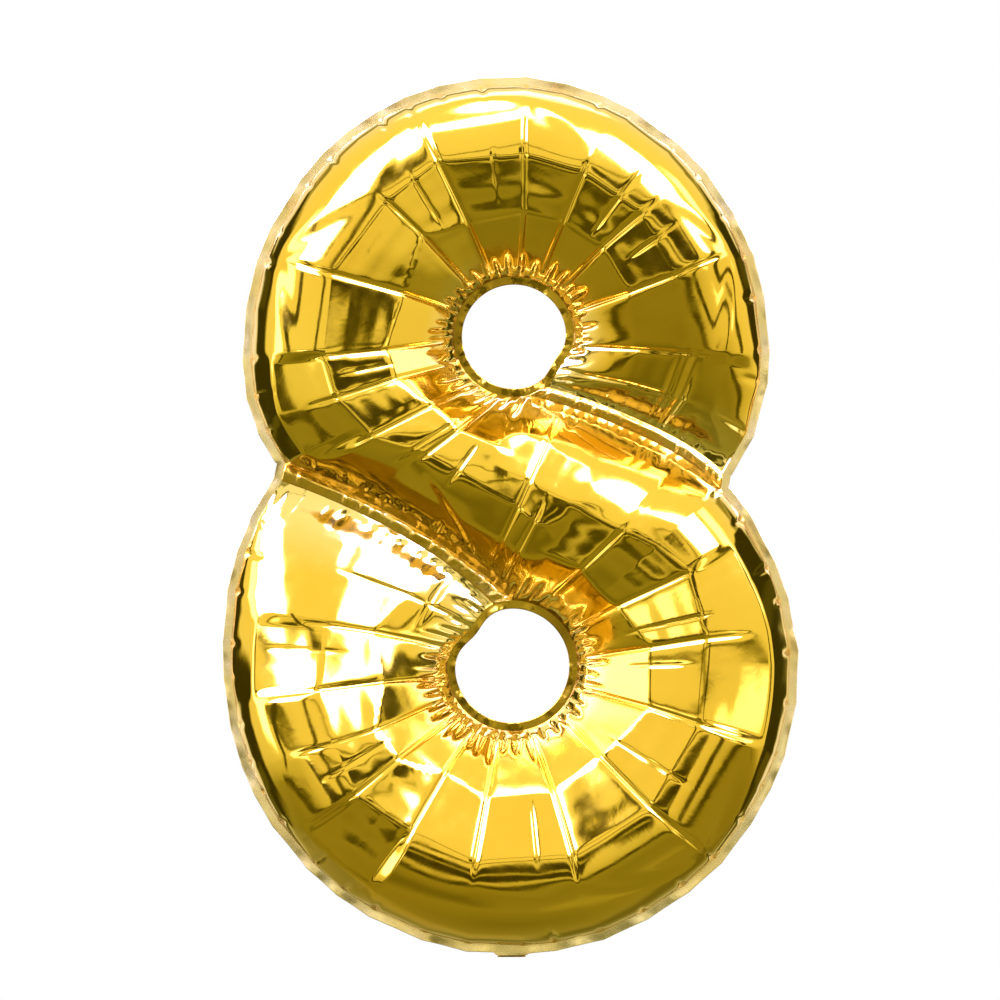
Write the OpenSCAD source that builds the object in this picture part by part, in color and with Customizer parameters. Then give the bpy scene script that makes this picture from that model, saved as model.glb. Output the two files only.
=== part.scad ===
// Foil number balloon, figure 8, inflated.
// Millimetres, +Z up. The front faces -Y and +X is to the right when it is looked at from the front.
// The origin is under the middle of the balloon, at its lowest point.
// One S-shaped tube makes the figure. It starts at the right notch, runs anticlockwise round the upper
// eye, down the diagonal, and clockwise round the lower eye to the left notch. Two weld seams part the
// diagonal from the two ends of the tube. Two foil panels, front and back, meet in the flat seams.

/* [Lobes] */
// Half width of the upper lobe at its seam
upper_half_w = 251; // [235:1:265]
// Half height of the upper lobe at its seam
upper_half_h = 261; // [245:1:270]
// Height of the upper lobe's centre
upper_centre_z = 595; // [590:1:600]
// Half width of the lower lobe at its seam
lower_half_w = 275; // [260:1:285]
// Half height of the lower lobe at its seam
lower_half_h = 279; // [270:1:279]

/* [Eyes] */
// Radius of the upper eye at its seam
upper_eye_r = 59; // [50:1:66]
// Radius of the lower eye at its seam
lower_eye_r = 64; // [54:1:70]

/* [Tube] */
// Half depth of the tube as a share of its width, round the eyes
ring_fullness = 0.375; // [0.33:0.005:0.42]
// Half depth of the tube as a share of its width, on the diagonal
diagonal_fullness = 0.43; // [0.38:0.005:0.46]
// Distance over which the tube closes at each end
end_rounding = 95; // [70:1:120]

/* [Foil and seams] */
// Thickness of a foil panel
foil_t = 0.8; // [0.6:0.1:1.2]
// Thickness of a seam, where two foils are sealed together
seam_t = 1; // [0.8:0.1:1.4]
// Width of the seam outside the gas
seam_w = 8; // [6:0.5:10]
// Gap between the two tubes along a weld
weld_w = 10; // [8:0.5:15]

/* [Inflation tail and valve] */
// Width of the tail and of the valve
tail_w = 28; // [22:1:34]
// Length of the tail's curved part, next to the seam
tail_bend_l = 53; // [40:1:60]
// Length of the tail's flat end
tail_flat_l = 38; // [30:1:45]
// Radius of the curve in which the folded tail lies
tail_bend_r = 66; // [62:1:70]
// Thickness of one film of the tail or valve
film_t = 0.4; // [0.3:0.05:0.5]
// Width of the sealed edges of the tail and valve
side_seal_w = 3; // [2:0.5:5]
// Radius of the inflation hole in the tail
inflation_hole_r = 3; // [2:0.25:4]
// Length of the valve inside the balloon
valve_l = 78; // [50:1:110]

/* [Hidden] */

gold = [0.93, 0.70, 0.16];
pale_gold = [0.97, 0.86, 0.52];
clear_film = [0.86, 0.88, 0.88];

// Height of the seam's lowest edge; the folded tail passes under it
tail_gap = 1.6;
lower_centre = [0, tail_gap + seam_w + lower_half_h];
upper_centre = [-5.5, upper_centre_z];
// The lower lobe leans to the left above its centre, by this much for each millimetre of height
lower_lean = 0.07;

// Eyes: centre, seam radius, [turn, size, spread] of the corner and of the flattened side
upper_eye = [[2.5, upper_centre_z + 13], upper_eye_r, [-67, 5, 10], [-32, 5, 20]];
lower_eye = [[0.5, lower_centre[1] - 3], lower_eye_r, [98, 12, 9], [140, 9, 24]];
// Turns at which the weld seams leave the eyes: [side of the ring, side of the diagonal]
upper_weld_turns = [-59, -75];
lower_weld_turns = [-255, 90];

// Notches, as [side of the ring's end, side of the diagonal]
right_notch = [[207, 473], [205, 460]];
left_notch = [[-225, 469], [-222, 482]];
// How far round a lobe its outline bends in to reach a notch, in degrees
notch_spread = 11;
// Middle control points of the curve along the centre of each weld
upper_weld_bend = [[80, 540], [166, 509]];
lower_weld_bend = [[-62, 404], [-150, 446]];

// Number of steps along each stretch of the tube and across it
steps_along = [44, 8, 5, 8, 46];
steps_across = 12;
// How far a seam reaches under the edge of the panels
underlap = 2;

// ---- plane curves, as [x, z] ----

function wrapped(a) = a - 360 * round(a / 360);
function polar(r, a) = [r * cos(a), r * sin(a)];
// Size at a turn of a local change in radius, given as [turn, size, spread]
function swell(turn, at) = at[1] * exp(-pow(wrapped(turn - at[0]) / at[2], 2));

// Edge of an eye at a turn; grow is how far outside the seam
function eye_edge(eye, turn, grow = 0) =
    eye[0] + polar(eye[1] + grow - swell(turn, eye[3]) + (grow < 0 ? swell(turn, eye[2]) : 0), turn);

// Edge of a lobe at a turn, before it bends in to its notches
function lobe_edge(is_upper, turn, grow = 0) =
    is_upper
        ? upper_centre + [(upper_half_w + grow) * cos(turn), (upper_half_h + grow) * sin(turn)]
        : lower_centre + [
            (lower_half_w + grow) * cos(turn) - lower_lean * max(0, (lower_half_h + grow) * sin(turn)),
            (lower_half_h + grow) * sin(turn)
        ];

// Turns of the lobes' edges at the notches, measured on each lobe's own circle
upper_from = -30;
upper_to = 209;
lower_from = 40;
lower_to = -219;

// The same edge, drawn in to a notch at its first and last turn
function notched(is_upper, turn, first_turn, first, last_turn, last, grow) =
    lobe_edge(is_upper, turn, grow)
    + (first - lobe_edge(is_upper, first_turn)) * exp(-pow((turn - first_turn) / notch_spread, 2))
    + (last - lobe_edge(is_upper, last_turn)) * exp(-pow((turn - last_turn) / notch_spread, 2));

function upper_lobe(turn, grow = 0) =
    notched(true, turn, upper_from, right_notch[0], upper_to, left_notch[1], grow);

function lower_lobe(turn, grow = 0) =
    notched(false, turn, lower_from, right_notch[1], lower_to, left_notch[0], grow);

function bezier(p, t) =
    pow(1 - t, 3) * p[0] + 3 * pow(1 - t, 2) * t * p[1] + 3 * (1 - t) * t * t * p[2] + pow(t, 3) * p[3];

// Each weld has two edges, from its eye to its notch. Side 1 is up and side -1 is down.
function upper_weld(side, t) =
    bezier([
        eye_edge(upper_eye, upper_weld_turns[side > 0 ? 0 : 1]),
        upper_weld_bend[0] + [0, side * weld_w / 2],
        upper_weld_bend[1] + [side * weld_w / 4, side * weld_w / 2],
        right_notch[side > 0 ? 0 : 1]
    ], t);

function lower_weld(side, t) =
    bezier([
        eye_edge(lower_eye, lower_weld_turns[side > 0 ? 1 : 0]),
        lower_weld_bend[0] + [side * weld_w / 4, side * weld_w / 2],
        lower_weld_bend[1] + [side * weld_w / 4, side * weld_w / 2],
        left_notch[side > 0 ? 1 : 0]
    ], t);

// ---- the tube ----

// Turns round the eyes that match the stations along the tube
upper_eye_leaves = 222;
lower_eye_joins = 40;
upper_eye_turn = [[0, upper_weld_turns[0]], [0.13, -4], [0.5, 90], [0.88, 180], [1, upper_eye_leaves]];
lower_eye_turn = [[0, lower_eye_joins], [0.15, 0], [0.5, -90], [0.85, -180], [1, lower_weld_turns[0]]];
// Share of a weld's length at which the diagonal's section meets the other eye's corner
upper_weld_share = 0.42;
lower_weld_share = 0.27;
last_station = 5;

function left_edge(s) =
    s <= 1 ? eye_edge(upper_eye, lookup(s, upper_eye_turn))
    : s <= 2 ? eye_edge(upper_eye, blend(upper_eye_leaves, 360 + upper_weld_turns[1], s - 1))
    : s <= 3 ? upper_weld(-1, (s - 2) * upper_weld_share)
    : s <= 4 ? upper_weld(-1, blend(upper_weld_share, 1, s - 3))
    : lower_lobe(blend(lower_from, lower_to, s - 4));

function right_edge(s) =
    s <= 1 ? upper_lobe(blend(upper_from, upper_to, s))
    : s <= 2 ? lower_weld(1, blend(1, lower_weld_share, s - 1))
    : s <= 3 ? lower_weld(1, blend(lower_weld_share, 0, s - 2))
    : s <= 4 ? eye_edge(lower_eye, blend(lower_weld_turns[1], lower_eye_joins, s - 3))
    : eye_edge(lower_eye, lookup(s - 4, lower_eye_turn));

function blend(a, b, t) = a + t * (b - a);

// The two end sections follow their welds, and the next sections straighten out over this many stations
bow_reach = 0.1;
function end_bow(s, t) =
    s < 1
        ? exp(-pow(s / bow_reach, 2)) * (upper_weld(1, t) - blend(left_edge(0), right_edge(0), t))
    : s > last_station - 1
        ? exp(-pow((last_station - s) / bow_reach, 2))
            * (lower_weld(-1, 1 - t) - blend(left_edge(last_station), right_edge(last_station), t))
    : [0, 0];

// Length of the middle line per station round an eye
ring_l = 670;
function end_gap(s) = ring_l * min(s, last_station - s);
function end_cap(s) = sqrt(max(0, 1 - pow(1 - min(1, end_gap(s) / end_rounding), 2)));

// The section is steep at an outer edge and shallower beside an eye
eye_side = 0.72;
outer_side = 0.5;
left_power = [[0, eye_side], [1, eye_side], [2, outer_side], [5, outer_side]];
right_power = [[0, outer_side], [3, outer_side], [4, eye_side], [5, eye_side]];
fullness = [[0, ring_fullness], [0.9, ring_fullness], [2, diagonal_fullness],
    [3, diagonal_fullness], [4.1, ring_fullness], [5, ring_fullness]];

function crest(a, b) = pow(a / (a + b), a) * pow(b / (a + b), b);
function section(s, t) =
    pow(t, lookup(s, left_power)) * pow(1 - t, lookup(s, right_power))
    / crest(lookup(s, left_power), lookup(s, right_power));

function half_depth(s) = lookup(s, fullness) * norm(right_edge(s) - left_edge(s)) * end_cap(s);

// A point of the tube's wall; inset is how far inside the outer surface, and side is -1 for the front
function wall_point(s_raw, t_raw, inset, side) =
    let (
        s = min(last_station - inset / ring_l, max(inset / ring_l, s_raw)),
        trim = inset / norm(right_edge(s) - left_edge(s)),
        t = trim + t_raw * (1 - 2 * trim),
        p = blend(left_edge(s), right_edge(s), t) + end_bow(s, t),
        depth = (half_depth(s_raw) - (end_cap(s_raw) > 0 ? inset * end_cap(s_raw) : 0)) * section(s, t_raw)
    )
    [p[0], side * (seam_t / 2 + max(0, depth)), p[1]];

stations = concat(
    [for (k = [0 : len(steps_along) - 1], i = [0 : steps_along[k] - 1]) k + i / steps_along[k]],
    [last_station]
);
rows = len(stations) - 1;
shares = [for (j = [0 : steps_across]) (1 - cos(180 * j / steps_across)) / 2];
cols = steps_across + 1;

// A four-sided face, split in two
function triangles(a, b, c, d) = [[c, b, a], [d, c, a]];

// Places of the grid's border points, in order round it
function border() = concat(
    [for (j = [0 : steps_across]) j],
    [for (i = [1 : rows]) i * cols + steps_across],
    [for (j = [steps_across - 1 : -1 : 0]) rows * cols + j],
    [for (i = [rows - 1 : -1 : 1]) i * cols]
);

// One half of the tube: an outer skin, an inner skin and the flat edge between them
module foil_half(side) {
    outer = [for (s = stations, t = shares) wall_point(s, t, 0, side)];
    inner = [for (s = stations, t = shares) wall_point(s, t, foil_t, side)];
    shift = len(outer);
    edge = border();
    n = len(edge);
    outer_faces = [for (i = [0 : rows - 1], j = [0 : cols - 2])
        each triangles(i * cols + j, (i + 1) * cols + j, (i + 1) * cols + j + 1, i * cols + j + 1)];
    inner_faces = [for (f = outer_faces) [for (k = [2 : -1 : 0]) f[k] + shift]];
    edge_faces = [for (k = [0 : n - 1])
        each triangles(edge[k], edge[(k + 1) % n], edge[(k + 1) % n] + shift, edge[k] + shift)];
    faces = concat(outer_faces, inner_faces, edge_faces);
    polyhedron(points = concat(outer, inner), faces = faces, convexity = 8);
}

// ---- seams ----

outline_step = 3;

// Outline of the whole figure, grown outside the gas or, below zero, shrunk into it
module figure(grow) {
    polygon(concat(
        [for (a = [upper_from : outline_step : upper_to]) upper_lobe(a, grow)],
        [for (a = [lower_to : outline_step : lower_from]) lower_lobe(a, grow)]
    ));
}

module eye_disc(eye, grow) {
    polygon([for (a = [0 : 6 : 354]) eye_edge(eye, a, grow)]);
}

// Stands a plane shape up, so that its second axis runs up and its thickness is centred on y = 0
module standing(t) {
    rotate([90, 0, 0]) linear_extrude(height = t, center = true) children();
}

// A weld, cut to end at the outline's seam and at the eye's
module weld_plate(upward, downward, eye) {
    difference() {
        intersection() {
            polygon(concat(upward, downward));
            figure(-underlap);
        }
        eye_disc(eye, underlap);
    }
}

module seam_pad() {
    translate([-tail_w / 2, tail_gap + 0.5]) square([tail_w, 2 * seam_w]);
}

// ---- inflation tail ----

// The line on which the tail folds lies just under the seam
fold_z = film_t * 1.5;
tail_bend_turn = tail_bend_l / tail_bend_r * 180 / PI;
tail_bend_steps = 18;
// Distance from the hole's centre to the tail's end
hole_from_end = 16;
pad_top = tail_gap + 0.5 + 2 * seam_w;

// A point of the tail's side view, so far below the middle film line, at a turn round the bend and then
// so far along the flat end, as [y, z]
function tail_point(below, turn, along = 0) =
    [0, fold_z + tail_bend_r]
    + (tail_bend_r + below) * [sin(turn), -cos(turn)]
    + along * [cos(turn), sin(turn)];

// A strip of the tail, between two depths below its middle and two places across it
module tail_strip(low, high, x_from, x_to) {
    bend = [for (k = [0 : tail_bend_steps]) k * tail_bend_turn / tail_bend_steps];
    translate([x_from, 0, 0]) rotate([90, 0, 90]) linear_extrude(height = x_to - x_from)
        polygon(concat(
            [for (turn = bend) tail_point(high, turn)],
            [tail_point(high, tail_bend_turn, tail_flat_l), tail_point(low, tail_bend_turn, tail_flat_l)],
            [for (k = [tail_bend_steps : -1 : 0]) tail_point(low, bend[k])]
        ));
}

module inflation_hole() {
    mouth = tail_point(film_t * 1.5 + 1, tail_bend_turn, tail_flat_l - hole_from_end);
    translate([0, mouth[0], mouth[1]]) rotate([tail_bend_turn, 0, 0])
        cylinder(h = film_t + 1.15, r = inflation_hole_r, $fn = 48);
}

// ---- the pieces ----

module front_foil_panel() {
    color(gold) foil_half(-1);
}

module back_foil_panel() {
    color(gold) foil_half(1);
}

module outline_seam() {
    color(pale_gold) standing(seam_t) {
        difference() {
            figure(seam_w);
            figure(-underlap);
        }
        intersection() {
            seam_pad();
            figure(seam_w - 1);
        }
    }
}

module upper_eye_seam() {
    color(pale_gold) standing(seam_t) difference() {
        eye_disc(upper_eye, underlap);
        eye_disc(upper_eye, -seam_w);
    }
}

module lower_eye_seam() {
    color(pale_gold) standing(seam_t) difference() {
        eye_disc(lower_eye, underlap);
        eye_disc(lower_eye, -seam_w);
    }
}

module upper_weld_seam() {
    color(pale_gold) standing(seam_t) weld_plate(
        [for (t = [0 : 0.05 : 1]) upper_weld(1, t) + [0, underlap]],
        [for (t = [1 : -0.05 : 0]) upper_weld(-1, t) - [0, underlap]],
        upper_eye
    );
}

module lower_weld_seam() {
    color(pale_gold) standing(seam_t) weld_plate(
        [for (t = [0 : 0.05 : 1]) lower_weld(1, t) + [0, underlap]],
        [for (t = [1 : -0.05 : 0]) lower_weld(-1, t) - [0, underlap]],
        lower_eye
    );
}

module valve_film(y_from) {
    translate([-tail_w / 2, y_from, pad_top]) cube([tail_w, film_t, valve_l]);
}

module valve_front_film() {
    color(clear_film) valve_film(-seam_t / 2);
}

module valve_back_film() {
    color(clear_film) valve_film(seam_t / 2 - film_t);
}

module valve_side_seals() {
    gap = seam_t - 2 * film_t;
    color(clear_film) for (side = [-1, 1])
        translate([side * (tail_w - side_seal_w) / 2 - side_seal_w / 2, -gap / 2, pad_top])
            cube([side_seal_w, gap, valve_l]);
}

module tail_front_film() {
    color(gold) difference() {
        tail_strip(film_t / 2, film_t * 1.5, -tail_w / 2, tail_w / 2);
        inflation_hole();
    }
}

module tail_back_film() {
    color(gold) tail_strip(-film_t * 1.5, -film_t / 2, -tail_w / 2, tail_w / 2);
}

module tail_side_seals() {
    color(pale_gold) for (side = [-1, 1])
        tail_strip(-film_t / 2, film_t / 2, side * (tail_w - side_seal_w) / 2 - side_seal_w / 2,
            side * (tail_w - side_seal_w) / 2 + side_seal_w / 2);
}

front_foil_panel();
back_foil_panel();
outline_seam();
upper_eye_seam();
lower_eye_seam();
upper_weld_seam();
lower_weld_seam();
valve_front_film();
valve_back_film();
valve_side_seals();
tail_front_film();
tail_back_film();
tail_side_seals();
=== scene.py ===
"""Looks of the foil number balloon, figure 8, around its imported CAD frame.

The shape is worked out in millimetres, in the plane curves of the CAD source, and turned to metres when a
mesh is made. A station s runs from 0 to 5 along the S-shaped tube, and a share q from 0 to 1 across it, from
its left edge to its right edge as it is walked.
"""

import math

import bpy
import numpy as np
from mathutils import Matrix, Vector


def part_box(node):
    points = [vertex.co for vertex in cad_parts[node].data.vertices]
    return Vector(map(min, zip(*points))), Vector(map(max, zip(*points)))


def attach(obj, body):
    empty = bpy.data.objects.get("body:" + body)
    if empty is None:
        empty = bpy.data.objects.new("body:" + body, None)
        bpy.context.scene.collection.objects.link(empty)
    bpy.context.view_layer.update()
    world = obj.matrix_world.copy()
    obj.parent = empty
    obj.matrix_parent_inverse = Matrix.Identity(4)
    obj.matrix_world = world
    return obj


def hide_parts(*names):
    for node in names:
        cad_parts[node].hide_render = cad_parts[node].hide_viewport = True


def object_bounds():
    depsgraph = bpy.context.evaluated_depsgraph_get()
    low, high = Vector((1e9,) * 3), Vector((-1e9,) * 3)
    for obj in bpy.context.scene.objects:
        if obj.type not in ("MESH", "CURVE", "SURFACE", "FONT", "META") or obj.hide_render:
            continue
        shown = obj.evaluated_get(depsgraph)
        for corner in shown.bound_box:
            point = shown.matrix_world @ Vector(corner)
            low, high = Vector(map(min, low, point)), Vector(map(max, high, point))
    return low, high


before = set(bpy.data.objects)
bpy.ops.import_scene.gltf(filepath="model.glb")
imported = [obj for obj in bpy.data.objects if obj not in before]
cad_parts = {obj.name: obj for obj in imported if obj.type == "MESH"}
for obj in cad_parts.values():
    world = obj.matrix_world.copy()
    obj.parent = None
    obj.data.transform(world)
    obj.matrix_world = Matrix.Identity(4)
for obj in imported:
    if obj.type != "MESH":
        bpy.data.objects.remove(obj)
cad_low, cad_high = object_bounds()
MM = 0.001

# ---- plane curves of the tube, as in the CAD source ----

SEAM_W = 8.0
UPPER_C = np.array([-5.5, 595.0])
UPPER_HALF = (251.0, 261.0)
LOWER_HALF = (275.0, 279.0)
LOWER_C = np.array([0.0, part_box("outline_seam")[0].z / MM + SEAM_W + LOWER_HALF[1]])
LEAN = 0.07
# centre, seam radius, turn, size and spread of the flattened side
UPPER_EYE = (np.array([2.5, UPPER_C[1] + 13]), 59.0, (-32, 5, 20))
LOWER_EYE = (np.array([0.5, LOWER_C[1] - 3]), 64.0, (140, 9, 24))
UPPER_WELD_TURNS = (-59.0, -75.0)
LOWER_WELD_TURNS = (-255.0, 90.0)
RIGHT_NOTCH = np.array([[207.0, 473.0], [205.0, 460.0]])
LEFT_NOTCH = np.array([[-225.0, 469.0], [-222.0, 482.0]])
UPPER_TURNS = (-30.0, 209.0)
LOWER_TURNS = (40.0, -219.0)
NOTCH_SPREAD = 11.0
WELD_W = 10.0
UPPER_BEND = np.array([[80.0, 540.0], [166.0, 509.0]])
LOWER_BEND = np.array([[-62.0, 404.0], [-150.0, 446.0]])
UPPER_EYE_TURN = ([0, 0.13, 0.5, 0.88, 1, 2], [UPPER_WELD_TURNS[0], -4, 90, 180, 222, 360 + UPPER_WELD_TURNS[1]])
LOWER_EYE_TURN = ([3, 4, 4.15, 4.5, 4.85, 5], [LOWER_WELD_TURNS[1], 40, 0, -90, -180, LOWER_WELD_TURNS[0]])
RING_L = 670.0
# how far from its weld a ring's end rises, and how roundly
CAP_L, CAP_ROUND = 170.0, 1.6
RING_FULL, DIAGONAL_FULL = 0.375, 0.39
# beside each weld: a trough, and then a second ridge, at these distances from it
TROUGH_AT, TROUGH_W, LIP_AT = 9.0, 6.0, 22.0


def polar(r, turn):
    a = np.radians(turn)
    return np.stack([r * np.cos(a), r * np.sin(a)], -1)


def lerp(a, b, t):
    return a + t * (b - a)


def bell(x):
    return np.exp(-np.square(x))


def ramp(x, low, high):
    """0 below low, 1 above high, smooth between."""
    t = np.clip((x - low) / (high - low), 0, 1)
    return t * t * (3 - 2 * t)


def monotone(x, xs, ys):
    """Smooth curve through points, with no overshoot."""
    xs, ys = np.asarray(xs, float), np.asarray(ys, float)
    h = np.diff(xs)
    d = np.diff(ys) / h
    m = np.empty_like(ys)
    m[0], m[-1] = d[0], d[-1]
    w1, w2 = 2 * h[1:] + h[:-1], h[1:] + 2 * h[:-1]
    turns = d[:-1] * d[1:] <= 0
    d0, d1 = np.where(turns, 1, d[:-1]), np.where(turns, 1, d[1:])
    m[1:-1] = np.where(turns, 0, (w1 + w2) / (w1 / d0 + w2 / d1))
    i = np.clip(np.searchsorted(xs, x, side="right") - 1, 0, len(h) - 1)
    t = (x - xs[i]) / h[i]
    return (
        (1 + 2 * t) * (1 - t) ** 2 * ys[i]
        + t * (1 - t) ** 2 * h[i] * m[i]
        + t * t * (3 - 2 * t) * ys[i + 1]
        + t * t * (t - 1) * h[i] * m[i + 1]
    )


def eye_edge(eye, turn, grow=0.0):
    turn = np.asarray(turn, float)
    centre, r, (at, size, spread) = eye
    off = turn - at
    off = off - 360 * np.round(off / 360)
    return centre + polar(r + grow - size * bell(off / spread), turn)


def lobe_edge(upper, turn, grow=0.0):
    a = np.radians(np.asarray(turn, float))
    if upper:
        return UPPER_C + np.stack([(UPPER_HALF[0] + grow) * np.cos(a), (UPPER_HALF[1] + grow) * np.sin(a)], -1)
    z = (LOWER_HALF[1] + grow) * np.sin(a)
    return LOWER_C + np.stack([(LOWER_HALF[0] + grow) * np.cos(a) - LEAN * np.maximum(0, z), z], -1)


def notched(upper, turn, grow=0.0):
    ends = UPPER_TURNS if upper else LOWER_TURNS
    notch = (RIGHT_NOTCH[0], LEFT_NOTCH[1]) if upper else (RIGHT_NOTCH[1], LEFT_NOTCH[0])
    turn = np.asarray(turn, float)
    p = lobe_edge(upper, turn, grow)
    for end, to in zip(ends, notch):
        p = p + (to - lobe_edge(upper, end)) * bell((turn - end) / NOTCH_SPREAD)[..., None]
    return p


def bezier(p, t):
    t = np.asarray(t, float)[..., None]
    return (1 - t) ** 3 * p[0] + 3 * (1 - t) ** 2 * t * p[1] + 3 * (1 - t) * t * t * p[2] + t**3 * p[3]


def upper_weld(side, t):
    k = 0 if side > 0 else 1
    up = np.array([0, side * WELD_W / 2])
    slant = np.array([side * WELD_W / 4, 0])
    return bezier([eye_edge(UPPER_EYE, UPPER_WELD_TURNS[k]), UPPER_BEND[0] + up,
                   UPPER_BEND[1] + up + slant, RIGHT_NOTCH[k]], t)


def lower_weld(side, t):
    k = 1 if side > 0 else 0
    shift = np.array([side * WELD_W / 4, side * WELD_W / 2])
    return bezier([eye_edge(LOWER_EYE, LOWER_WELD_TURNS[k]), LOWER_BEND[0] + shift,
                   LOWER_BEND[1] + shift, LEFT_NOTCH[k]], t)


def left_edge(s):
    s = np.asarray(s, float)
    eye = eye_edge(UPPER_EYE, monotone(np.minimum(s, 2), *UPPER_EYE_TURN))
    weld = upper_weld(-1, monotone(np.clip(s, 2, 4), [2, 3, 4], [0, 0.42, 1]))
    lobe = notched(False, lerp(*LOWER_TURNS, np.maximum(s, 4) - 4))
    return np.where((s <= 2)[..., None], eye, np.where((s <= 4)[..., None], weld, lobe))


def right_edge(s):
    s = np.asarray(s, float)
    lobe = notched(True, lerp(*UPPER_TURNS, np.minimum(s, 1)))
    weld = lower_weld(1, monotone(np.clip(s, 1, 3), [1, 2, 3], [1, 0.27, 0]))
    eye = eye_edge(LOWER_EYE, monotone(np.maximum(s, 3), *LOWER_EYE_TURN))
    return np.where((s <= 1)[..., None], lobe, np.where((s <= 3)[..., None], weld, eye))


def tube_point(s, t):
    """Smooth front wall of the tube. s and t are arrays of one shape."""
    a, b = left_edge(s), right_edge(s)
    width = np.linalg.norm(b - a, axis=-1)
    p = lerp(a, b, t[..., None])
    first = upper_weld(1, t) - lerp(left_edge(np.zeros(1)), right_edge(np.zeros(1)), t[..., None])
    last = lower_weld(-1, 1 - t) - lerp(left_edge(np.full(1, 5.0)), right_edge(np.full(1, 5.0)), t[..., None])
    p = p + np.where(s < 1, bell(s / 0.1), 0)[..., None] * first
    p = p + np.where(s > 4, bell((5 - s) / 0.1), 0)[..., None] * last
    gap = RING_L * np.minimum(s, 5 - s)
    cap = 1 - (1 - np.clip(gap / CAP_L, 0, 1)) ** CAP_ROUND
    left = np.interp(s, [0, 0.9, 2, 3.6, 4.1, 5], [0.82, 0.82, 0.95, 0.95, 0.5, 0.5])
    right = np.interp(s, [0, 0.9, 1.4, 3, 4.1, 5], [0.5, 0.5, 0.95, 0.95, 0.82, 0.82])
    full = monotone(s, [0, 0.85, 2, 3, 4.15, 5],
                    [RING_FULL, RING_FULL, DIAGONAL_FULL, DIAGONAL_FULL, RING_FULL, RING_FULL])
    crest = (left / (left + right)) ** left * (right / (left + right)) ** right
    depth = full * width * cap * np.maximum(t, 0) ** left * np.maximum(1 - t, 0) ** right / crest
    return np.stack([p[..., 0], -depth, p[..., 1]], -1)


# ---- the foil: creases, facets and ruffles ----

PITCH = 2.6
ROWS = 76


def upper_station(turn):
    s = np.linspace(0, 2, 2001)
    return np.interp(turn, monotone(s, *UPPER_EYE_TURN), s)


def lower_station(turn):
    s = np.linspace(3, 5, 2001)
    return np.interp(-np.asarray(turn), -monotone(s, *LOWER_EYE_TURN), s)


def smooth_noise(rng, x, step):
    """Smooth random line over x, with about one bump for each step, between -1 and 1."""
    lo = float(x.min()) - 2 * step
    knots = rng.uniform(-1, 1, int((float(x.max()) - lo) / step) + 4)
    place = (x - lo) / step
    k = place.astype(int)
    return lerp(knots[k], knots[k + 1], ramp(place - k, 0, 1))


def base_grid():
    """Stations of the columns, and shares of the rows, spaced evenly along the foil."""
    s = np.linspace(0, 5, 8001)
    a, b = left_edge(s), right_edge(s)
    step = np.maximum(np.linalg.norm(np.diff(a, axis=0), axis=1), np.linalg.norm(np.diff(b, axis=0), axis=1))
    run = np.concatenate([[0], np.cumsum(step)])
    n = int(round(run[-1] / PITCH))
    stations = np.interp(np.linspace(0, run[-1], n + 1), run, s)
    t = np.tile((1 - np.cos(np.linspace(0, math.pi, 161))) / 2, (n + 1, 1))
    p = tube_point(np.tile(stations[:, None], (1, t.shape[1])), t)
    arc = np.concatenate([np.zeros((n + 1, 1)), np.cumsum(np.linalg.norm(np.diff(p, axis=1), axis=2), 1)], 1)
    q = np.linspace(0, 1, ROWS + 1)
    shares = np.stack([np.interp(q * arc[i, -1], arc[i], t[i]) for i in range(n + 1)])
    return stations, q, shares


def row_run(p):
    """Distance run along each row."""
    d = np.linalg.norm(np.diff(p, axis=0), axis=2)
    return np.concatenate([np.zeros((1, p.shape[1])), np.cumsum(d, 0)], 0)


def normals(p):
    u, v = np.gradient(p, axis=0), np.gradient(p, axis=1)
    n = np.cross(u, v)
    n /= np.linalg.norm(n, axis=2, keepdims=True) + 1e-9
    if n[:, n.shape[1] // 2, 1].mean() > 0:
        n = -n
    return n


def straightened(p, columns):
    """The surface with each row drawn straight between the given columns."""
    run = row_run(p)
    out = np.empty_like(p)
    for j in range(p.shape[1]):
        knots = run[columns, j]
        for k in range(3):
            out[:, j, k] = np.interp(run[:, j], knots, p[columns, j, k])
    return out


def bands_of(rng, creases, stations, corners, spread):
    """Shares across the tube at which each column turns a corner. They shift a little from crease to crease."""
    at = [s for s, _ in creases]
    moved = np.array([np.array(corners) + rng.uniform(-1, 1, len(corners)) * spread for _ in creases])
    return np.stack([np.interp(stations, at, moved[:, k]) for k in range(len(corners))], 1)


def banded(p, share, corners):
    """The surface with each column drawn straight between its corners."""
    out = p.copy()
    for i in range(len(p)):
        x, y = share[i], p[i]
        if x[0] > x[-1]:
            x, y = x[::-1], y[::-1]
        inside = (share[i] >= corners[i, 0]) & (share[i] <= corners[i, -1])
        for k in range(3):
            knots = np.interp(corners[i], x, y[:, k])
            out[i, inside, k] = np.interp(share[i, inside], corners[i], knots)
    return out


def eye_share(stations, q):
    """Share of the way from the nearer eye, for each column and row."""
    lower = ramp(stations, 2.2, 2.8)[:, None]
    return q[None, :] * (1 - lower) + (1 - q[None, :]) * lower


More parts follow.
